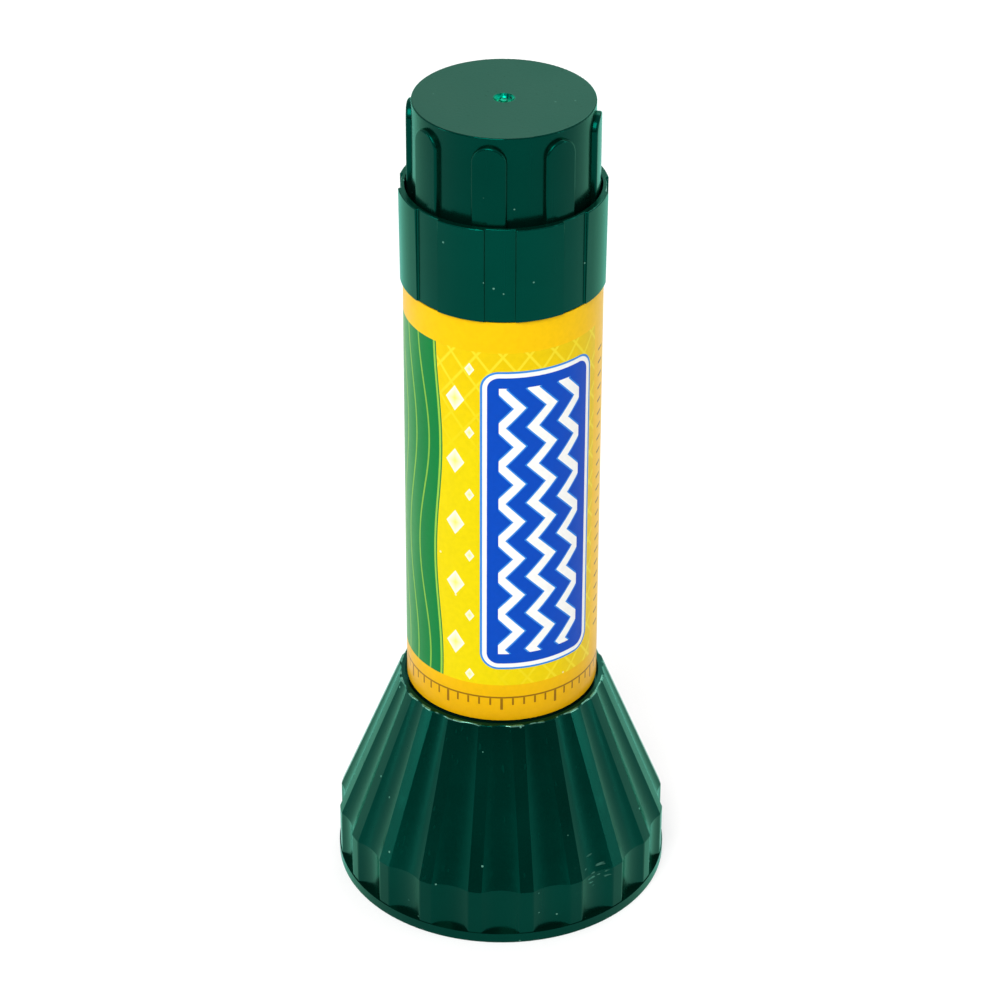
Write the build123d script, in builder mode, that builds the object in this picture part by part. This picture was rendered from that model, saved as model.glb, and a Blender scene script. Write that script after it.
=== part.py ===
"""Glue stick that stands on its cap, with its twist knob at the top.

All lengths are in millimetres.
The origin is at the centre of the cap's rim, where it stands on the table.
+Z runs up the axis of the stick, and -Y is the front.
"""
import os
from math import cos, pi, radians, sin

from build123d import *

# Cap
cap_height = 29.4
cap_base_radius = 22.3
cap_band_top = 8.15
cap_rim_height = 1.45
cap_rim_flange = 0.1
cap_mouth_wall = 0.8
cap_mouth_depth = 1.5
cap_mouth_clearance = 0.3
cap_mouth_round = 0.1
cap_rim_round = 0.15
cap_wall = 1.2
cap_floor_thickness = 1.3
cap_room = 6.5
cap_mould_gap = 1.0

# Flutes of the cap
flute_count = 20
flute_depth_at_mouth = 0.24
flute_depth_at_base = 0.75
flute_land_at_mouth = 1.8
flute_land_at_base = 1.85
flute_edge_round = 0.6

# Barrel
barrel_radius = 12.6
barrel_wall = 1.4
barrel_neck_wall = 0.8
barrel_neck_length = 13.9
barrel_tube_length = 61.9
barrel_mouth_chamfer = 0.3
web_thickness = 1.5
fit_clearance = 0.1

# Collar at the knob's end of the barrel
collar_height = 12.8
collar_overhang = 0.66
collar_draft = 0.13
collar_wall = 0.81
collar_floor = 1.2
collar_land_count = 8
collar_land_angle = 28
collar_land_turn = -1.8
collar_recess_depth = 0.4
collar_step_round = 0.18
collar_rim_round = 0.15

# Guide keys inside the barrel
key_count = 3
key_width = 1.4
key_height = 0.8
key_set_back = 2.0
key_clearance = 0.25

# Label
label_thickness = 0.15
label_bottom_margin = 1.75
label_top_margin = 0.25
label_overlap_width = 5.0

# Knob
knob_rise = 11.6
knob_wall = 1.3
knob_face_thickness = 1.5
knob_edge_round = 0.2
knob_clearance = 0.3
knob_hub_radius = 4.6
knob_hub_core_radius = 2.0
knob_rib_count = 8
knob_rib_turn = -8.9
knob_rib_width = 4.4
knob_rib_height = 0.65
knob_rib_round = 0.3
knob_rib_top_margin = 1.05
knob_rib_bottom_margin = 0.5
gate_radius = 1.35
gate_depth = 0.5
gate_stub_radius = 0.45

# Spindle
thread_lead = 5.0
thread_root_radius = 2.6
thread_crest_radius = 3.3
thread_root_width = 1.6
thread_crest_width = 1.0
thread_clearance = 0.15
spindle_tip_inset = 4.0
spindle_tip_chamfer = 0.5
spindle_flange_radius = 5.5
spindle_flange_thickness = 1.2
drive_side = 4.4
drive_length = 8.0

# Carrier of the glue
carrier_clearance = 0.2
carrier_height = 7.9
carrier_gap = 0.3
carrier_wall = 1.3
carrier_floor = 1.4
carrier_hub_radius = 5.2
carrier_hub_set_back = 1.5
carrier_edge_chamfer = 0.3

# Glue
glue_clearance = 0.25
glue_seat_clearance = 0.05
glue_bore_clearance = 0.3
glue_tip_inset = 0.3
glue_tip_round = 0.8
glue_tip_cover = 0.7

# How far a cutter runs past what it cuts
overrun = 1.0

# Radii that follow
bore_radius = barrel_radius - barrel_wall
neck_radius = bore_radius + barrel_neck_wall
label_radius = barrel_radius + label_thickness
collar_radius = barrel_radius + collar_overhang
collar_recess_radius = collar_radius - collar_recess_depth
collar_bore_radius = collar_radius - collar_wall
knob_rib_radius = collar_bore_radius - knob_clearance
knob_radius = knob_rib_radius - knob_rib_height
cup_bore_radius = neck_radius + fit_clearance
cup_radius = cup_bore_radius + cap_wall
cap_mouth_bore_radius = label_radius + cap_mouth_clearance
cap_mouth_radius = cap_mouth_bore_radius + cap_mouth_wall
cap_rim_radius = cap_base_radius + cap_rim_flange
key_tip_radius = bore_radius - key_height
carrier_radius = bore_radius - carrier_clearance
carrier_cup_radius = carrier_radius - carrier_wall
glue_radius = bore_radius - glue_clearance
journal_radius = thread_crest_radius

# Heights that follow
shoulder = cap_height - cap_mouth_depth
barrel_mouth = shoulder - barrel_neck_length
collar_bottom = shoulder + barrel_tube_length
collar_top = collar_bottom + collar_height
web_top = collar_bottom + collar_floor
web_bottom = web_top - web_thickness
knob_top = collar_top + knob_rise
knob_bottom = web_top + knob_clearance
knob_hub_bottom = web_top + fit_clearance
cup_floor_top = barrel_mouth - cap_room
cup_floor_bottom = cup_floor_top - cap_floor_thickness
flange_top = web_bottom - fit_clearance
flange_bottom = flange_top - spindle_flange_thickness
spindle_tip = barrel_mouth + spindle_tip_inset
drive_top = knob_hub_bottom + drive_length
knob_hollow_top = knob_top - knob_face_thickness
carrier_top = flange_bottom - carrier_gap
carrier_bottom = carrier_top - carrier_height
carrier_hub_bottom = carrier_bottom + carrier_hub_set_back
carrier_floor_top = carrier_top - carrier_wall
carrier_floor_bottom = carrier_floor_top - carrier_floor
glue_tip = barrel_mouth + glue_tip_inset


def threaded_rod(bottom, top, clearance):
    """A rod with one left-hand ridge, grown by the clearance on every side.

    The ridge faces +X at height zero, so rods made apart are in step.
    """
    root_radius = thread_root_radius + clearance
    crest_radius = thread_crest_radius + clearance
    root_half_angle = pi * (thread_root_width + 2 * clearance) / thread_lead
    crest_half_angle = pi * (thread_crest_width + 2 * clearance) / thread_lead
    phase = -2 * pi * bottom / thread_lead

    def at(radius, angle):
        return (radius * cos(angle), radius * sin(angle))

    start = Plane(origin=(0, 0, bottom), x_dir=(cos(phase), sin(phase), 0), z_dir=(0, 0, 1))
    with BuildPart() as rod:
        with BuildSketch(start):
            Circle(root_radius)
            with BuildLine():
                crest = ThreePointArc(
                    at(crest_radius, -crest_half_angle),
                    at(crest_radius, 0),
                    at(crest_radius, crest_half_angle),
                )
                Polyline(crest @ 1, at(root_radius, root_half_angle), (0, 0))
                Polyline((0, 0), at(root_radius, -root_half_angle), crest @ 0)
            make_face()
        with BuildLine():
            axis_line = Line((0, 0, bottom), (0, 0, top))
        turn_guide = Helix(
            pitch=thread_lead,
            height=top - bottom,
            radius=crest_radius,
            center=(0, 0, bottom),
            lefthand=True,
            mode=Mode.PRIVATE,
        )
        sweep(path=axis_line, binormal=turn_guide)
    return rod.part


def flute_circle(outer_radius, land_width, depth):
    """Radius of a flute's scoop, and how far its centre lies from the axis.

    The scoop is this deep, and leaves lands of this width between the flutes.
    """
    half_angle = pi / flute_count - land_width / (2 * outer_radius)
    half_chord = outer_radius * sin(half_angle)
    chord_depth = depth - outer_radius * (1 - cos(half_angle))
    scoop_radius = (half_chord**2 + chord_depth**2) / (2 * chord_depth)
    return scoop_radius, outer_radius - depth + scoop_radius


# Cap: a fluted skirt round a cup that seals the neck of the barrel
mouth_scoop_radius, mouth_scoop_centre = flute_circle(
    cap_mouth_radius, flute_land_at_mouth, flute_depth_at_mouth
)
base_scoop_radius, base_scoop_centre = flute_circle(
    cap_base_radius, flute_land_at_base, flute_depth_at_base
)

# One flute's cutter, at the front: down the cone, then straight down the band to the rim
with BuildPart() as flute:
    with BuildSketch(Plane.XY.offset(cap_band_top)):
        with Locations((0, -base_scoop_centre)):
            Circle(base_scoop_radius)
    with BuildSketch(Plane.XY.offset(cap_height)):
        with Locations((0, -mouth_scoop_centre)):
            Circle(mouth_scoop_radius)
    loft(ruled=True)
    extrude(flute.faces().sort_by(Axis.Z)[-1], amount=overrun)
    extrude(flute.faces().sort_by(Axis.Z)[0], amount=cap_band_top - cap_rim_height)

# The skirt's inner face follows the floors of the flutes, one wall further in
skirt_radius_at_mouth = cap_mouth_radius - flute_depth_at_mouth - cap_wall
skirt_radius_at_base = cap_base_radius - flute_depth_at_base - cap_wall
skirt_spread = (skirt_radius_at_base - skirt_radius_at_mouth) / (cap_height - cap_band_top)
hollow_top_radius = cup_radius + cap_mould_gap
hollow_top = cap_height - (hollow_top_radius - skirt_radius_at_mouth) / skirt_spread

with BuildPart() as cap:
    with BuildSketch(Plane.XZ):
        with BuildLine():
            Polyline(
                (0, 0),
                (cap_rim_radius, 0),
                (cap_rim_radius, cap_rim_height),
                (cap_base_radius, cap_rim_height),
                (cap_base_radius, cap_band_top),
                (cap_mouth_radius, cap_height),
                (0, cap_height),
                close=True,
            )
        make_face()
    revolve(axis=Axis.Z)
    with PolarLocations(0, flute_count):
        add(flute.part, mode=Mode.SUBTRACT)
    land_edges = cap.edges().filter_by(GeomType.LINE)
    fillet(land_edges.filter_by(lambda edge: edge.center().Z > cap_rim_height), flute_edge_round)
    fillet(cap.faces().sort_by(Axis.Z)[-1].edges(), cap_mouth_round)
    fillet(cap.faces().sort_by(Axis.Z)[0].edges(), cap_rim_round)
    with BuildSketch(Plane.XZ):
        with BuildLine():
            Polyline(
                (0, cup_floor_top),
                (cup_bore_radius, cup_floor_top),
                (cup_bore_radius, shoulder),
                (cap_mouth_bore_radius, shoulder),
                (cap_mouth_bore_radius, cap_height + overrun),
                (0, cap_height + overrun),
                close=True,
            )
        make_face()
        with BuildLine():
            Polyline(
                (0, -overrun),
                (skirt_radius_at_base, -overrun),
                (skirt_radius_at_base, cap_band_top),
                (hollow_top_radius, hollow_top),
                (cup_radius, hollow_top),
                (cup_radius, cup_floor_bottom),
                (0, cup_floor_bottom),
                close=True,
            )
        make_face()
    revolve(axis=Axis.Z, mode=Mode.SUBTRACT)
cap.part.label = "cap"

# Barrel: neck, tube, end web and collar in one piece
# One land of the collar, at +X
with BuildSketch() as collar_land:
    with BuildLine():
        half_land = radians(collar_land_angle / 2)
        land_start = (collar_radius * cos(half_land), -collar_radius * sin(half_land))
        land_end = (collar_radius * cos(half_land), collar_radius * sin(half_land))
        land_arc = ThreePointArc(land_start, (collar_radius, 0), land_end)
        Polyline(land_arc @ 1, (0, 0), land_arc @ 0)
    make_face()

with BuildPart() as barrel:
    # Neck and tube, solid up to the floor of the collar
    with BuildSketch(Plane.XY.offset(barrel_mouth)):
        Circle(neck_radius)
    extrude(amount=web_top - barrel_mouth)
    chamfer(barrel.edges().sort_by(Axis.Z)[0], barrel_mouth_chamfer)
    with BuildSketch(Plane.XY.offset(shoulder)):
        Circle(barrel_radius)
    extrude(amount=web_top - shoulder)
    with BuildSketch(Plane.XY.offset(collar_bottom)) as collar_outline:
        Circle(collar_recess_radius)
        first_land = 180 / collar_land_count + collar_land_turn
        with PolarLocations(0, collar_land_count, start_angle=first_land):
            add(collar_land.sketch)
        fillet(collar_outline.vertices(), collar_step_round)
    extrude(amount=collar_height)
    fillet(barrel.faces().sort_by(Axis.Z)[-1].edges(), collar_rim_round)
    # Draft that leaves the lands a little smaller towards the label
    with BuildSketch(Plane.XZ):
        with BuildLine():
            Polyline(
                (collar_radius - collar_draft, collar_bottom),
                (collar_radius, collar_top),
                (collar_radius + overrun, collar_top),
                (collar_radius + overrun, collar_bottom),
                close=True,
            )
        make_face()
    revolve(axis=Axis.Z, mode=Mode.SUBTRACT)
    # Bore for the glue, socket for the knob, and the spindle's hole in the web between them
    with BuildSketch(Plane.XY.offset(barrel_mouth)):
        Circle(bore_radius)
    extrude(amount=web_bottom - barrel_mouth, mode=Mode.SUBTRACT)
    with BuildSketch(Plane.XY.offset(web_top)):
        Circle(collar_bore_radius)
    extrude(amount=collar_top - web_top, mode=Mode.SUBTRACT)
    with BuildSketch(Plane.XY.offset(web_bottom)):
        Circle(journal_radius + fit_clearance)
    extrude(amount=web_thickness, mode=Mode.SUBTRACT)
    # Guide keys, rooted halfway into the neck's wall
    with BuildSketch(Plane.XY.offset(barrel_mouth + key_set_back)):
        with PolarLocations(key_tip_radius, key_count):
            Rectangle(
                key_height + barrel_neck_wall / 2,
                key_width,
                align=(Align.MIN, Align.CENTER),
            )
    extrude(amount=web_bottom - barrel_mouth - key_set_back)
barrel.part.label = "barrel"

# Label: one turn of film, with its end lapped over its start at the back
label_bottom = shoulder + label_bottom_margin
label_height = collar_bottom - label_top_margin - label_bottom
with BuildPart() as label:
    with BuildSketch(Plane.XY.offset(label_bottom)):
        Circle(label_radius)
        with BuildLine():
            half_lap = label_overlap_width / (2 * label_radius)
            lap_radius = label_radius + label_thickness
            lap_arc = ThreePointArc(
                (lap_radius * sin(half_lap), lap_radius * cos(half_lap)),
                (0, lap_radius),
                (-lap_radius * sin(half_lap), lap_radius * cos(half_lap)),
            )
            Polyline(lap_arc @ 1, (0, 0), lap_arc @ 0)
        make_face()
        Circle(barrel_radius, mode=Mode.SUBTRACT)
    extrude(amount=label_height)
label.part.label = "label"

# Knob: a ribbed hollow cap with a hub that grips the spindle
# One grip rib, at the front
rib_crown = knob_top - knob_rib_top_margin - knob_rib_width / 2
rib_foot = knob_bottom + knob_rib_bottom_margin
with BuildPart() as rib:
    with BuildSketch(Plane.XZ):
        with BuildLine():
            crown = CenterArc((0, rib_crown), knob_rib_width / 2, 0, 180)
            Polyline(
                crown @ 1,
                (-knob_rib_width / 2, rib_foot),
                (knob_rib_width / 2, rib_foot),
                crown @ 0,
            )
        make_face()
    extrude(amount=knob_rib_radius + overrun)
    with BuildSketch(Plane.XY.offset(rib_foot - overrun)):
        Circle(knob_rib_radius)
        Circle(knob_radius - knob_wall / 2, mode=Mode.SUBTRACT)
    extrude(amount=knob_top - rib_foot + overrun, mode=Mode.INTERSECT)
    rib_face = rib.faces().filter_by(GeomType.CYLINDER).sort_by(Axis.Y)[0]
    fillet(rib_face.edges(), knob_rib_round)

with BuildPart() as knob:
    with BuildSketch(Plane.XY.offset(knob_bottom)):
        Circle(knob_radius)
    extrude(amount=knob_top - knob_bottom)
    fillet(knob.edges().sort_by(Axis.Z)[-1], knob_edge_round)
    with PolarLocations(0, knob_rib_count, start_angle=knob_rib_turn):
        add(rib.part)
    with BuildSketch(Plane.XY.offset(knob_bottom)):
        Circle(knob_radius - knob_wall)
    extrude(amount=knob_hollow_top - knob_bottom, mode=Mode.SUBTRACT)
    with BuildSketch(Plane.XY.offset(knob_hub_bottom)):
        Circle(knob_hub_radius)
    extrude(amount=knob_hollow_top - knob_hub_bottom)
    with BuildSketch(Plane.XY.offset(knob_hub_bottom)):
        Rectangle(drive_side, drive_side)
    extrude(amount=drive_length, mode=Mode.SUBTRACT)
    with BuildSketch(Plane.XY.offset(drive_top)):
        Circle(knob_hub_core_radius)
    extrude(amount=knob_hollow_top - drive_top, mode=Mode.SUBTRACT)
    # Gate mark: a dished hole with the broken stub standing in it
    with BuildSketch(Plane.XZ):
        with BuildLine():
            Polyline(
                (0, knob_top - gate_depth / 2),
                (gate_stub_radius, knob_top - gate_depth / 2),
                (gate_stub_radius, knob_top - gate_depth),
                (2 * gate_stub_radius, knob_top - gate_depth),
                (gate_radius, knob_top),
                (0, knob_top),
                close=True,
            )
        make_face()
    revolve(axis=Axis.Z, mode=Mode.SUBTRACT)
knob.part.label = "knob"

# Spindle: thread, flange behind the web, journal in the web and square end in the knob
with BuildPart() as spindle:
    add(threaded_rod(spindle_tip, flange_bottom, 0))
    # Pointed tip, at 45 degrees
    tip_radius = thread_root_radius - spindle_tip_chamfer
    cutter_radius = thread_crest_radius + overrun
    with BuildSketch(Plane.XZ):
        with BuildLine():
            Polyline(
                (tip_radius, spindle_tip),
                (cutter_radius, spindle_tip),
                (cutter_radius, spindle_tip + cutter_radius - tip_radius),
                close=True,
            )
        make_face()
    revolve(axis=Axis.Z, mode=Mode.SUBTRACT)
    with BuildSketch(Plane.XY.offset(flange_bottom)):
        Circle(spindle_flange_radius)
    extrude(amount=spindle_flange_thickness)
    with BuildSketch(Plane.XY.offset(flange_top)):
        Circle(journal_radius)
    extrude(amount=knob_hub_bottom - flange_top)
    with BuildSketch(Plane.XY.offset(knob_hub_bottom)):
        Rectangle(drive_side, drive_side)
    extrude(amount=drive_length)
spindle.part.label = "spindle"

# Carrier: a cup open to the glue, with a threaded hub and slots for the guide keys
with BuildPart() as carrier:
    with BuildSketch(Plane.XZ):
        with BuildLine():
            Polyline(
                (0, carrier_hub_bottom),
                (carrier_hub_radius, carrier_hub_bottom),
                (carrier_hub_radius, carrier_floor_bottom),
                (carrier_cup_radius, carrier_floor_bottom),
                (carrier_cup_radius, carrier_bottom),
                (carrier_radius, carrier_bottom),
                (carrier_radius, carrier_top),
                (carrier_cup_radius, carrier_top),
                (carrier_cup_radius, carrier_floor_top),
                (carrier_hub_radius, carrier_floor_top),
                (carrier_hub_radius, carrier_top),
                (0, carrier_top),
                close=True,
            )
        make_face()
    revolve(axis=Axis.Z)
    outer_edges = carrier.edges().filter_by(GeomType.CIRCLE).sort_by(SortBy.RADIUS)[-2:]
    chamfer(outer_edges, carrier_edge_chamfer)
    with BuildSketch(Plane.XY.offset(carrier_bottom)):
        with PolarLocations(key_tip_radius - key_clearance, key_count):
            Rectangle(
                key_height + key_clearance + overrun,
                key_width + 2 * key_clearance,
                align=(Align.MIN, Align.CENTER),
            )
    extrude(amount=carrier_height, mode=Mode.SUBTRACT)
    add(
        threaded_rod(carrier_hub_bottom - overrun, carrier_top + overrun, thread_clearance),
        mode=Mode.SUBTRACT,
    )
carrier.part.label = "carrier"

# Glue: a stick round the spindle, with its foot in the carrier's cup
with BuildPart() as glue:
    with BuildSketch(Plane.XY.offset(glue_tip)):
        Circle(glue_radius)
    extrude(amount=carrier_bottom - glue_tip)
    fillet(glue.edges().sort_by(Axis.Z)[0], glue_tip_round)
    with BuildSketch(Plane.XY.offset(glue_tip)):
        with PolarLocations(key_tip_radius - key_clearance, key_count):
            Rectangle(
                key_height + key_clearance + overrun,
                key_width + 2 * key_clearance,
                align=(Align.MIN, Align.CENTER),
            )
    extrude(amount=carrier_bottom - glue_tip, mode=Mode.SUBTRACT)
    with BuildSketch(Plane.XY.offset(carrier_bottom)):
        Circle(carrier_cup_radius - glue_seat_clearance)
    extrude(amount=carrier_floor_bottom - carrier_bottom)
    with BuildSketch(Plane.XY.offset(spindle_tip - glue_tip_cover)):
        Circle(thread_crest_radius + glue_bore_clearance)
    extrude(amount=carrier_floor_bottom - spindle_tip + glue_tip_cover, mode=Mode.SUBTRACT)
    with BuildSketch(Plane.XY.offset(carrier_hub_bottom - glue_seat_clearance)):
        Circle(carrier_hub_radius + glue_seat_clearance)
    extrude(amount=carrier_floor_bottom - carrier_hub_bottom + glue_seat_clearance, mode=Mode.SUBTRACT)
glue.part.label = "glue"

os.makedirs("parts", exist_ok=True)
for piece in (cap, barrel, label, knob, spindle, carrier, glue):
    export_step(piece.part, f"parts/{piece.part.label}.step")
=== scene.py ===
from math import cos, radians, sin

import bpy
from mathutils import Matrix, Vector


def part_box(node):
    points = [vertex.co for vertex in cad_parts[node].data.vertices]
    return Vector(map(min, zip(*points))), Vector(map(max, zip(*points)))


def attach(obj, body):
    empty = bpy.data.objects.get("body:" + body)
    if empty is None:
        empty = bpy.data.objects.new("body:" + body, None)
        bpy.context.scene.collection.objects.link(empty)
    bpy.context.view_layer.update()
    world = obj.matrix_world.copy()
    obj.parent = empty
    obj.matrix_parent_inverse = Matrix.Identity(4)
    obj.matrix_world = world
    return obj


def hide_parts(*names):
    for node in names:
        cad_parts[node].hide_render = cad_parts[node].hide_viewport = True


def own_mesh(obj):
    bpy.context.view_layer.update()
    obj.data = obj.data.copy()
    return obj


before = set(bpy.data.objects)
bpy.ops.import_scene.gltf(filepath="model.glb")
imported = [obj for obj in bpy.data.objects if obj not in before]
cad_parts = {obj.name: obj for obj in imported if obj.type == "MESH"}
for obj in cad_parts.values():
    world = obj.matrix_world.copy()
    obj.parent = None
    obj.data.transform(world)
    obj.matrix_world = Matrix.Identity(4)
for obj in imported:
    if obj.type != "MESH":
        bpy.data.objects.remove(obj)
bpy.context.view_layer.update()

# Lengths are in metres unless a name ends in mm
MM = 0.001
label_low, label_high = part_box("label")
_, knob_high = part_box("knob")
_, cap_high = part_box("cap")
label_radius = label_high.x
label_bottom_mm = label_low.z / MM
label_height_mm = (label_high.z - label_low.z) / MM


def linear(red, green, blue):
    """A colour given as 0 to 255 display values, as the shader's linear one."""
    shares = [value / 255 for value in (red, green, blue)]
    curve = [v / 12.92 if v <= 0.04045 else ((v + 0.055) / 1.055) ** 2.4 for v in shares]
    return (*curve, 1.0)


class Field:
    """A value in a node tree, whose arithmetic adds Math nodes."""

    def __init__(self, tree, socket):
        self.tree = tree
        self.socket = socket

    def math(self, operation, *others, clamp=False):
        node = self.tree.nodes.new("ShaderNodeMath")
        node.operation = operation
        node.use_clamp = clamp
        for place, value in enumerate((self, *others)):
            join(self.tree, value, node.inputs[place])
        return Field(self.tree, node.outputs[0])

    def __add__(self, other):
        return self.math("ADD", other)

    def __sub__(self, other):
        return self.math("SUBTRACT", other)

    def __mul__(self, other):
        return self.math("MULTIPLY", other)

    def __truediv__(self, other):
        return self.math("DIVIDE", other)

    def __neg__(self):
        return self * -1

    def clipped(self):
        """The value kept between 0 and 1."""
        return self.math("ADD", 0, clamp=True)

    def over(self, edge, soft=0.02):
        """1 where the value is over the edge, 0 where it is under."""
        return ((self - edge) / soft + 0.5).clipped()

    def under(self, edge, soft=0.02):
        return (self.over(edge, soft) - 1) * -1

    def between(self, low, high, soft=0.02):
        return self.over(low, soft) * self.under(high, soft)

    def least(self, other):
        return self.math("MINIMUM", other)

    def most(self, other):
        return self.math("MAXIMUM", other)

    def size(self):
        return self.math("ABSOLUTE")

    def repeat(self, pitch):
        """The distance past the middle of the nearest repeat."""
        return self.math("WRAP", pitch / 2, -pitch / 2)


def join(tree, value, socket):
    """Links a field or a node's output to a socket, or sets a plain value on it."""
    if isinstance(value, Field):
        value = value.socket
    if isinstance(value, bpy.types.NodeSocket):
        tree.links.new(value, socket)
    else:
        socket.default_value = value


def add_node(tree, kind, **inputs):
    """The first output of a new node of this kind, with its inputs given by name."""
    node = tree.nodes.new(kind)
    for name, value in inputs.items():
        join(tree, value, node.inputs[name.replace("_", " ")])
    return Field(tree, node.outputs[0])


def mix(tree, share, first, second):
    """The first colour where the share is 0, the second where it is 1."""
    node = tree.nodes.new("ShaderNodeMix")
    node.data_type = "RGBA"
    join(tree, share, node.inputs[0])
    join(tree, first, node.inputs[6])
    join(tree, second, node.inputs[7])
    return Field(tree, node.outputs[2])


def noise(tree, place, scale, detail=2.0):
    """Soft noise, with this many waves to the metre."""
    return add_node(tree, "ShaderNodeTexNoise", Vector=place, Scale=scale, Detail=detail)


def stretched(tree, place, scale, turn=(0, 0, 0)):
    """The place scaled and then turned, for noise drawn out along the small scales."""
    return add_node(tree, "ShaderNodeMapping", Vector=place, Rotation=turn, Scale=scale)


def new_material(name):
    """A new material, its node tree and its principled shader."""
    material = bpy.data.materials.new(name)
    material.use_nodes = True
    tree = material.node_tree
    return material, tree, tree.nodes["Principled BSDF"]


def object_place(tree):
    node = tree.nodes.new("ShaderNodeTexCoord")
    return Field(tree, node.outputs["Object"])


def split(tree, place):
    """The X, Y and Z of a place."""
    node = tree.nodes.new("ShaderNodeSeparateXYZ")
    join(tree, place, node.inputs[0])
    return [Field(tree, output) for output in node.outputs]


def height_and_radius(tree, place):
    """The height of a place, and its distance from the axis."""
    x, y, z = split(tree, place)
    return z, (x * x + y * y).math("SQRT")


def dust(tree, place, cells_per_metre, kept_share, radius_share):
    """1 on small specks in a few cells of a scattered grid."""
    cell = tree.nodes.new("ShaderNodeTexVoronoi")
    join(tree, place, cell.inputs["Vector"])
    cell.inputs["Scale"].default_value = cells_per_metre
    near = Field(tree, cell.outputs["Distance"]).under(radius_share, radius_share / 2)
    draw = split(tree, Field(tree, cell.outputs["Color"]))[0]
    return near * draw.under(kept_share, 0.001)


# Moulded green plastic
plastic_dark = linear(0, 39, 30)
plastic_light = linear(0, 52, 42)
# Painted light: the barrel's copy of the same green plastic, made lighter so that it looks as brightly lit
# as wanted
barrel_dark_painted_lighter = linear(0, 46, 36)
barrel_light_painted_lighter = linear(0, 61, 50)
# Painted sheen: the pale grey-green that the knob's level top face is lightened towards
plastic_painted_sheen = linear(74, 90, 79)
# Pale green of the dust specks and scuff hairs, and of the painted highlight dashes on the cap's lip
plastic_speck_and_highlight = linear(120, 180, 160)
plastic_metallic = 0.7
plastic_ior = 1.53
plastic_tint = (0.0, 1.0, 0.75, 1.0)
flow_scale = 90
grain_scale = 2600
scratch_scale = 2200
scratch_turn = (0.5, 0.3, 0.8)
scratch_stretch = (1, 1, 0.03)
bump_depth = 0.05 * MM

# The knob's satin face with its painted sheen, and the torn gate mark in it with its painted glint
satin_depth = 0.1 * MM
# Painted glint: the bright teal laid in the gate mark's dimple
gate_glint_teal = linear(0, 190, 150)
gate_radius = 1.3 * MM
gate_depth = 0.6 * MM

# The cap's lip, with its painted highlight dashes, and the scuffed patch low on its right
lip_depth = 0.12 * MM
lip_radius = 13.55 * MM
scuff_place = Vector((12.8 * MM, -18.2 * MM, 8.2 * MM))
scuff_radius = 2.6 * MM
scuff_stretch = (0.3, 0.3, 1)


def lip_highlight(tree, place, lip_height):
    """1 on the stretches of the lip's outer edge that carry painted highlight dashes."""
    height, from_axis = height_and_radius(tree, place)
    on_lip = height.over(lip_height - lip_depth, lip_depth / 3) * from_axis.over(lip_radius, 0.05 * MM)
    return on_lip * noise(tree, place, 900, detail=1).over(0.5, 0.1)


def scuff_hairs(tree, place):
    """1 on the fine level hairs of the scuffed patch."""
    distance = tree.nodes.new("ShaderNodeVectorMath")
    distance.operation = "DISTANCE"
    join(tree, place, distance.inputs[0])
    distance.inputs[1].default_value = scuff_place
    near = Field(tree, distance.outputs["Value"]).under(scuff_radius, scuff_radius)
    return noise(tree, stretched(tree, place, scuff_stretch), 2300, detail=1).over(0.66, 0.08) * near


def satin_and_sheen_face(tree, place, face_height):
    """1 on the level face at this height."""
    normal = tree.nodes.new("ShaderNodeTexCoord").outputs["Normal"]
    upward = split(tree, Field(tree, normal))[2].over(0.93, 0.04)
    height = split(tree, place)[2]
    return upward * height.over(face_height - satin_depth, satin_depth / 2)


def torn_gate_glint(tree, place, face_height):
    """1 on the patches in the gate mark of the face at this height that carry a painted glint."""
    height, from_axis = height_and_radius(tree, place)
    in_radius = from_axis.under(gate_radius, gate_radius / 5)
    in_depth = height.over(face_height - gate_depth, gate_depth / 5)
    return in_radius * in_depth * noise(tree, place, 1500, detail=2).over(0.5, 0.2)


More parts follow.
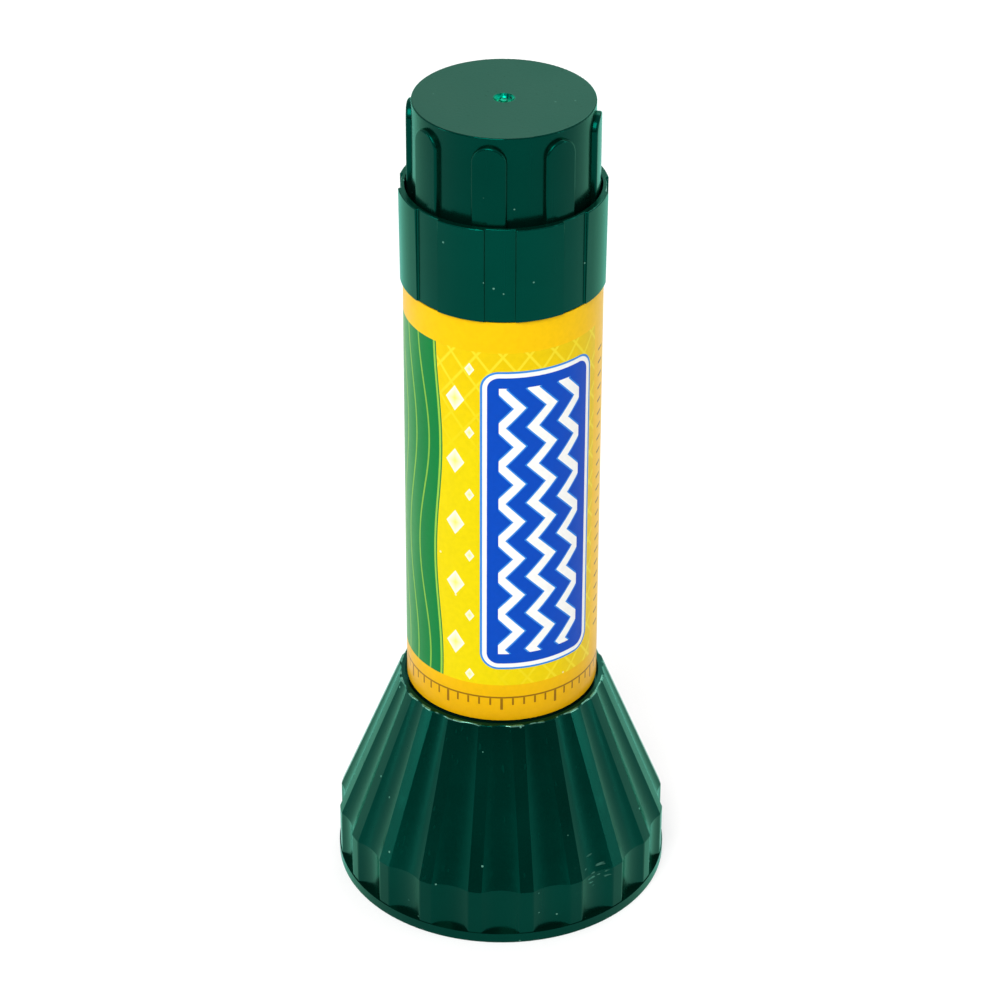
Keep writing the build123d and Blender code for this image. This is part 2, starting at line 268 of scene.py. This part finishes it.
def green_plastic(name, dark=plastic_dark, light=plastic_light, face_height=None, lip_height=None):
    """Glossy moulded plastic with flow marks, fine scratches and dust.

    A face at this height is satin with a painted sheen, and its torn gate mark has a painted glint. A lip at
    this height has painted highlight dashes in places, and the piece that has one is scuffed lower down.
    """
    material, tree, shader = new_material(name)
    place = object_place(tree)
    flow = noise(tree, place, flow_scale, detail=3)
    grain = noise(tree, place, grain_scale, detail=1)
    specks = dust(tree, place, 800, 0.07, 0.11)
    scratch_place = stretched(tree, place, scratch_stretch, scratch_turn)
    scratches = noise(tree, scratch_place, scratch_scale, detail=0).over(0.8, 0.04)
    colour = mix(tree, specks * 0.6, mix(tree, flow, dark, light), plastic_speck_and_highlight)
    roughness = flow * 0.1 + 0.17 + specks * 0.3 + scratches * 0.1
    height = grain * 0.02 + specks * 0.5 - scratches * 0.04
    if lip_height is not None:
        # Painted highlight: broken bright dashes along the lip's outer edge
        colour = mix(tree, lip_highlight(tree, place, lip_height) * 0.6, colour, plastic_speck_and_highlight)
        hairs = scuff_hairs(tree, place)
        colour = mix(tree, hairs * 0.3, colour, plastic_speck_and_highlight)
        roughness = roughness + hairs * 0.2
    if face_height is not None:
        satin_and_sheen = satin_and_sheen_face(tree, place, face_height)
        # Painted sheen: the level top face is lightened, and it is also rougher as satin
        colour = mix(tree, satin_and_sheen * (flow * 0.2 + 0.4), colour, plastic_painted_sheen)
        roughness = roughness + satin_and_sheen * 0.25
        height = height + satin_and_sheen * grain * 0.5
        # Painted glint in the torn gate mark
        colour = mix(tree, torn_gate_glint(tree, place, face_height), colour, gate_glint_teal)
    bump = add_node(tree, "ShaderNodeBump", Height=height, Strength=0.35, Distance=bump_depth)
    join(tree, colour, shader.inputs["Base Color"])
    join(tree, roughness, shader.inputs["Roughness"])
    join(tree, bump, shader.inputs["Normal"])
    # Partly metallic, which keeps the reflections green towards the sides
    shader.inputs["Metallic"].default_value = plastic_metallic
    shader.inputs["IOR"].default_value = plastic_ior
    shader.inputs["Specular Tint"].default_value = plastic_tint
    return material


def white_plastic(name):
    """Natural moulded plastic, milky and satin."""
    material, tree, shader = new_material(name)
    place = object_place(tree)
    flow = noise(tree, place, 120, detail=3)
    grain = noise(tree, place, 3000)
    bump = add_node(tree, "ShaderNodeBump", Height=grain, Strength=0.2, Distance=0.03 * MM)
    join(tree, mix(tree, flow, linear(226, 226, 218), linear(240, 240, 234)), shader.inputs["Base Color"])
    join(tree, flow * 0.1 + 0.3, shader.inputs["Roughness"])
    join(tree, bump, shader.inputs["Normal"])
    return material


def glue_paste(name):
    """Waxy glue, with soft streaks along its length and small pits."""
    material, tree, shader = new_material(name)
    place = object_place(tree)
    streaks = noise(tree, stretched(tree, place, (1, 1, 0.15)), 350, detail=4)
    pits = dust(tree, place, 700, 0.2, 0.2)
    height = streaks * 0.6 - pits * 0.5
    bump = add_node(tree, "ShaderNodeBump", Height=height, Strength=0.4, Distance=0.15 * MM)
    join(tree, mix(tree, streaks, linear(232, 231, 218), linear(246, 246, 238)), shader.inputs["Base Color"])
    join(tree, streaks * 0.15 + 0.38, shader.inputs["Roughness"])
    join(tree, bump, shader.inputs["Normal"])
    shader.inputs["Subsurface Weight"].default_value = 0.25
    shader.inputs["Subsurface Radius"].default_value = (1.0, 0.9, 0.7)
    shader.inputs["Subsurface Scale"].default_value = 1.5 * MM
    return material


# Label film
gold = linear(252, 201, 0)
# Deeper gold of the lower band: partly print, partly painted shade near the cap's lip
gold_deep_and_shade = linear(226, 168, 0)
lemon = linear(238, 216, 0)
lemon_deep = linear(240, 200, 0)
lemon_pale = linear(255, 238, 60)
leaf = linear(0, 128, 58)
leaf_light = linear(60, 170, 80)
leaf_pale = linear(150, 205, 70)
blue = linear(0, 74, 190)
blue_light = linear(50, 140, 225)
paper_white = linear(252, 252, 248)
print_brown = linear(112, 66, 10)
print_black = linear(0, 0, 0)

# Places and sizes of the print: all in millimetres, up to the film's material
middle = label_height_mm / 2
field_left = -9.2
field_right = 14.6
field_bottom = 5.6
field_top = label_height_mm - 4.3
golden_reach = 16
lattice_width = 3.4
lattice_height = 4.4
side_panel_left = -26.0
wave_length_share = 5.2
wave_offsets = (-11.6, -14.3, -17.0)
edge_width = 0.3
edge_shadow_width = 0.2
gem_pitch = 9.2
gem_columns = ((-6.3, 2.6, 0), (-4.3, 1.3, gem_pitch / 2))
panel_middle = 5.2
panel_half_size = (7.2, 21.5)
panel_corner = 1.6
zigzag_pitch = 5.6
zigzag_swing = 2.6
stripe_pitch = 4.3
mark_pitch = 1.5
long_mark_pitch = 5 * mark_pitch
mark_top = 3.5
rule_pitch = 1.9
box_middle = 29.5
box_half_size = (7.5, 15)
box_corner = 1.2
box_rule_pitch = 7.0


class Film:
    """The label's print: inks laid over each other, by their places on the film.

    Across runs round the film from the front at -Y, and up runs from its lower edge.
    """

    def __init__(self, tree, place):
        x, y, z = split(tree, place)
        self.tree = tree
        self.across = x.math("ARCTAN2", -y) * (label_radius / MM)
        self.up = z / MM - label_bottom_mm
        self.in_height = self.up.between(field_bottom, field_top)
        self.on_field = self.across.between(field_left, field_right) * self.in_height
        # Gold ground, a little deeper towards the lower edge: partly the print's orange band, partly painted
        # shade near the cap's lip
        self.colour = mix(tree, (self.up / 9).clipped(), gold_deep_and_shade, gold)

    def lay(self, share, ink):
        """Covers what is there with an ink, where the share is 1."""
        self.colour = mix(self.tree, share, self.colour, ink)


def rounded(across, up, centre, half_size, corner):
    """Distance outside a rounded rectangle, less than zero inside it."""
    far_x = (across - centre[0]).size() - (half_size[0] - corner)
    far_y = (up - centre[1]).size() - (half_size[1] - corner)
    outside_x = far_x.most(0)
    outside_y = far_y.most(0)
    outside = (outside_x * outside_x + outside_y * outside_y).math("SQRT")
    return outside + far_x.most(far_y).least(0) - corner


def diamond(across, up, width, height):
    """Distance outside a square on its corner, as a share of its own half width."""
    return across.size() / (width / 2) + up.size() / (height / 2) - 1


def print_field(film):
    """Lemon field, golden to the right and at the top, with a lattice of diamonds that fades in there."""
    to_right = ((film.across + 2) / golden_reach).clipped()
    to_top = ((film.up - (field_top - golden_reach)) / golden_reach).clipped()
    golden = to_right.most(to_top)
    field = mix(film.tree, golden * 0.8, lemon, lemon_deep)
    cell_across = film.across.repeat(lattice_width)
    cell_up = film.up.repeat(lattice_height)
    cell = diamond(cell_across, cell_up, lattice_width, lattice_height)
    lines = cell.size().under(0.12, 0.1) * (golden * 1.2).clipped()
    film.lay(film.on_field, mix(film.tree, lines * 0.55, field, lemon_pale))


def print_side_panel(film):
    """Green side panel with thin waves and a wavy light edge."""
    wave = (film.up / wave_length_share).math("SINE")
    beside = film.across - wave * 0.5
    green = mix(film.tree, ((film.across + 21) / 9).clipped(), leaf_light, leaf)
    for offset in wave_offsets:
        line = (film.across - (wave * 1.1 + offset)).size().under(0.14)
        green = mix(film.tree, line * 0.75, green, leaf_pale)
    edge = field_left + edge_width
    film.lay(film.across.over(side_panel_left) * beside.under(field_left) * film.in_height, green)
    film.lay(beside.between(field_left, edge) * film.in_height, leaf_pale)
    film.lay(beside.between(edge, edge + edge_shadow_width) * film.in_height, leaf)


def print_diamonds(film):
    """Two columns of pale diamonds between the panels."""
    for column, width, shift in gem_columns:
        gem_up = (film.up - middle - shift).repeat(gem_pitch)
        gem = diamond(film.across - column, gem_up, width, width * 1.4)
        shaded = mix(film.tree, (gem * 0.8 + 0.9).clipped(), lemon_pale, paper_white)
        film.lay(gem.under(0, 0.06) * film.on_field, shaded)


def print_blue_panel(film):
    """Blue panel with a white border and three zigzag lines."""
    soft = 0.05
    panel = rounded(film.across, film.up, (panel_middle, middle + 0.6), panel_half_size, panel_corner)
    for outset, ink in ((0.9, blue_light), (0.6, paper_white), (0, blue)):
        film.lay(panel.under(outset, soft) * film.on_field, ink)
    slope = 2 * zigzag_swing / zigzag_pitch
    zigzag = film.up.repeat(zigzag_pitch).size() * slope - zigzag_swing / 2
    stripe = (film.across - zigzag - panel_middle).repeat(stripe_pitch).size()
    inside = panel.under(-1.5) * film.on_field
    for half_width, ink in ((1.05, blue_light), (0.78, paper_white)):
        film.lay(stripe.under(half_width, soft) * inside, ink)


def print_marks(film):
    """Brown scale marks along the lower band, and rules down the gold side."""
    across, up, soft = film.across, film.up, 0.06
    marks = across.repeat(mark_pitch).size().under(0.13, soft) * up.between(2.4, mark_top, soft)
    long_marks = across.repeat(long_mark_pitch).size().under(0.18, soft) * up.between(1.7, mark_top, soft)
    base_line = up.between(mark_top, mark_top + 0.25, soft)
    scale = marks.most(long_marks).most(base_line) * across.between(-19, 19)
    rules = up.repeat(rule_pitch).size().under(0.16, soft) * across.between(15.9, 17.6)
    rules = rules * up.between(8, label_height_mm - 8)
    film.lay(scale.most(rules) * 0.8, print_brown)


def print_back_box(film):
    """Blank box with ruled lines at the back."""
    box = rounded(film.across, film.up, (box_middle, middle), box_half_size, box_corner)
    film.lay(box.under(0.35), print_brown)
    film.lay(box.under(0), paper_white)
    ruled = film.up.repeat(box_rule_pitch).size().under(0.12) * box.under(-1.8)
    film.lay(ruled * 0.7, print_brown)


def label_film(name):
    """Printed film, with uneven ink and small scuffs that show the film."""
    material, tree, shader = new_material(name)
    place = object_place(tree)
    film = Film(tree, place)
    print_field(film)
    print_side_panel(film)
    print_diamonds(film)
    print_blue_panel(film)
    print_marks(film)
    print_back_box(film)
    ink = noise(tree, place, 1400, detail=2)
    film.lay(ink * 0.12, print_black)
    film.lay(dust(tree, place, 500, 0.02, 0.08) * 0.4, paper_white)
    ripple = noise(tree, place, 55, detail=1)
    height = ripple + ink * 0.02
    bump = add_node(tree, "ShaderNodeBump", Height=height, Strength=0.25, Distance=0.25 * MM)
    join(tree, film.colour, shader.inputs["Base Color"])
    join(tree, ink * 0.08 + 0.3, shader.inputs["Roughness"])
    join(tree, bump, shader.inputs["Normal"])
    shader.inputs["Specular IOR Level"].default_value = 0.1
    return material


milk = white_plastic("milky_plastic")
finishes = {
    "cap": green_plastic("cap_green", lip_height=cap_high.z),
    # The barrel takes the lighter, painted-light copy of the green
    "barrel": green_plastic("barrel_green_painted_lighter", barrel_dark_painted_lighter, barrel_light_painted_lighter),
    "label": label_film("label_film"),
    "knob": green_plastic("knob_green", face_height=knob_high.z),
    "spindle": milk,
    "carrier": milk,
    "glue": glue_paste("glue_paste"),
}
for node_name, material in finishes.items():
    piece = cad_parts[node_name]
    piece.data.materials.clear()
    piece.data.materials.append(material)


# The glue, as a piece of its own that rides on the carrier, with its tip made uneven
glue_low, glue_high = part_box("glue")
tip_unevenness = 0.25 * MM
tip_zone = 1.5 * MM
tip_wave_x = 2.1 * MM
tip_wave_y = 2.7 * MM
glue_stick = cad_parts["glue"].copy()
glue_stick.data = glue_stick.data.copy()
glue_stick.name = "glue_stick"
bpy.context.scene.collection.objects.link(glue_stick)
for vertex in glue_stick.data.vertices:
    near_tip = max(0, 1 - (vertex.co.z - glue_low.z) / tip_zone)
    wave = sin(vertex.co.x / tip_wave_x) * cos(vertex.co.y / tip_wave_y)
    vertex.co.z += tip_unevenness * near_tip * (1 + wave)
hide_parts("glue")
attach(glue_stick, "carrier")
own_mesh(glue_stick)


# Stage: a pale floor that is white to the camera, in reflections and through clear things
floor_size = 6.0
floor_half_size = floor_size / 2
floor_dark = (0.49, 0.49, 0.49, 1)
floor_light = (0.51, 0.51, 0.51, 1)
floor_glow = 0.47
floor_far_glow = 0.3
floor_far_start = 0.4
floor_far_reach = 2
white = (1, 1, 1, 1)


def floor_material():
    """A matt floor whose seen glow makes up for the lamps' fall towards its far edge."""
    material, tree, shader = new_material("stage_floor")
    place = object_place(tree)
    tone = noise(tree, place, 6, detail=2)
    shader.inputs["Roughness"].default_value = 0.9
    shader.inputs["Specular IOR Level"].default_value = 0.0
    join(tree, mix(tree, tone, floor_dark, floor_light), shader.inputs["Base Color"])
    path = tree.nodes.new("ShaderNodeLightPath")
    seen = Field(tree, path.outputs["Is Camera Ray"])
    for ray in ("Is Glossy Ray", "Is Transmission Ray"):
        seen = seen.most(Field(tree, path.outputs[ray]))
    _, from_axis = height_and_radius(tree, place)
    far = ((from_axis - floor_far_start) / floor_far_reach).clipped()
    shader.inputs["Emission Color"].default_value = white
    join(tree, seen * (far * floor_far_glow + floor_glow), shader.inputs["Emission Strength"])
    return material


floor_mesh = bpy.data.meshes.new("stage_floor")
floor_corners = [
    (-floor_half_size, -floor_half_size, 0),
    (floor_half_size, -floor_half_size, 0),
    (floor_half_size, floor_half_size, 0),
    (-floor_half_size, floor_half_size, 0),
]
floor_mesh.from_pydata(floor_corners, [], [(0, 1, 2, 3)])
floor_mesh.materials.append(floor_material())
stage_floor = bpy.data.objects.new("stage_floor", floor_mesh)
bpy.context.scene.collection.objects.link(stage_floor)


def aimed(place, target):
    """The frame at a place whose -Z points at the target."""
    turn = (Vector(target) - Vector(place)).to_track_quat("-Z", "Y")
    return Matrix.Translation(Vector(place)) @ turn.to_matrix().to_4x4()


# Lamps: name, place, width, height and power in watts
middle_height = 0.056
lamps = (
    ("key_light", (-0.45, -1.35, 1.5), 1.2, 1.2, 32),
    ("back_light", (0.6, 1.4, 1.6), 1.4, 1.0, 12),
    ("left_strip", (-1.2, -0.22, 0.22), 0.16, 0.6, 1.8),
    ("right_strip", (1.2, -0.22, 0.22), 0.16, 0.6, 1.8),
)
for name, place, width, height, power in lamps:
    light = bpy.data.lights.new(name, "AREA")
    light.shape = "RECTANGLE"
    light.size = width
    light.size_y = height
    light.energy = power
    lamp = bpy.data.objects.new(name, light)
    lamp.matrix_world = aimed(place, (0, 0, middle_height))
    lamp.visible_camera = False
    bpy.context.scene.collection.objects.link(lamp)

# World light, by the share of the way towards the front and upwards
world_light = 0.75
front_fall = 0.65
front_edge = 0.36
front_soft = 0.14
low_edge = 0.21
low_soft = 0.12


def studio_world():
    """Pale all round and dark low down at the front, where the room lies; white to the camera."""
    made = bpy.data.worlds.new("studio")
    made.use_nodes = True
    tree = made.node_tree
    way = tree.nodes.new("ShaderNodeTexCoord").outputs["Generated"]
    x, y, z = split(tree, Field(tree, way))
    strength = (-y).over(front_edge, front_soft) * z.under(low_edge, low_soft) * -front_fall + world_light
    path = tree.nodes.new("ShaderNodeLightPath")
    strength = strength.most(Field(tree, path.outputs["Is Camera Ray"]))
    join(tree, strength, tree.nodes["Background"].inputs["Strength"])
    tree.nodes["Background"].inputs["Color"].default_value = white
    return made


bpy.context.scene.world = studio_world()

# Camera: fitted to the photograph's outline
camera_rise = radians(31.69)
camera_distance = 0.4864
focal_share = 3.703
camera_roll = radians(0.21)
aim = Vector((-0.00031, 0, middle_height))
back = Vector((0, -cos(camera_rise), sin(camera_rise)))
camera_data = bpy.data.cameras.new("camera")
camera_data.sensor_width = 36
camera_data.lens = focal_share * camera_data.sensor_width
camera_data.clip_start = 0.01
camera_data.clip_end = 20
camera = bpy.data.objects.new("camera", camera_data)
camera.matrix_world = aimed(aim + back * camera_distance, aim) @ Matrix.Rotation(camera_roll, 4, "Z")
bpy.context.scene.collection.objects.link(camera)
bpy.context.scene.camera = camera

bpy.context.scene.view_settings.view_transform = "Standard"
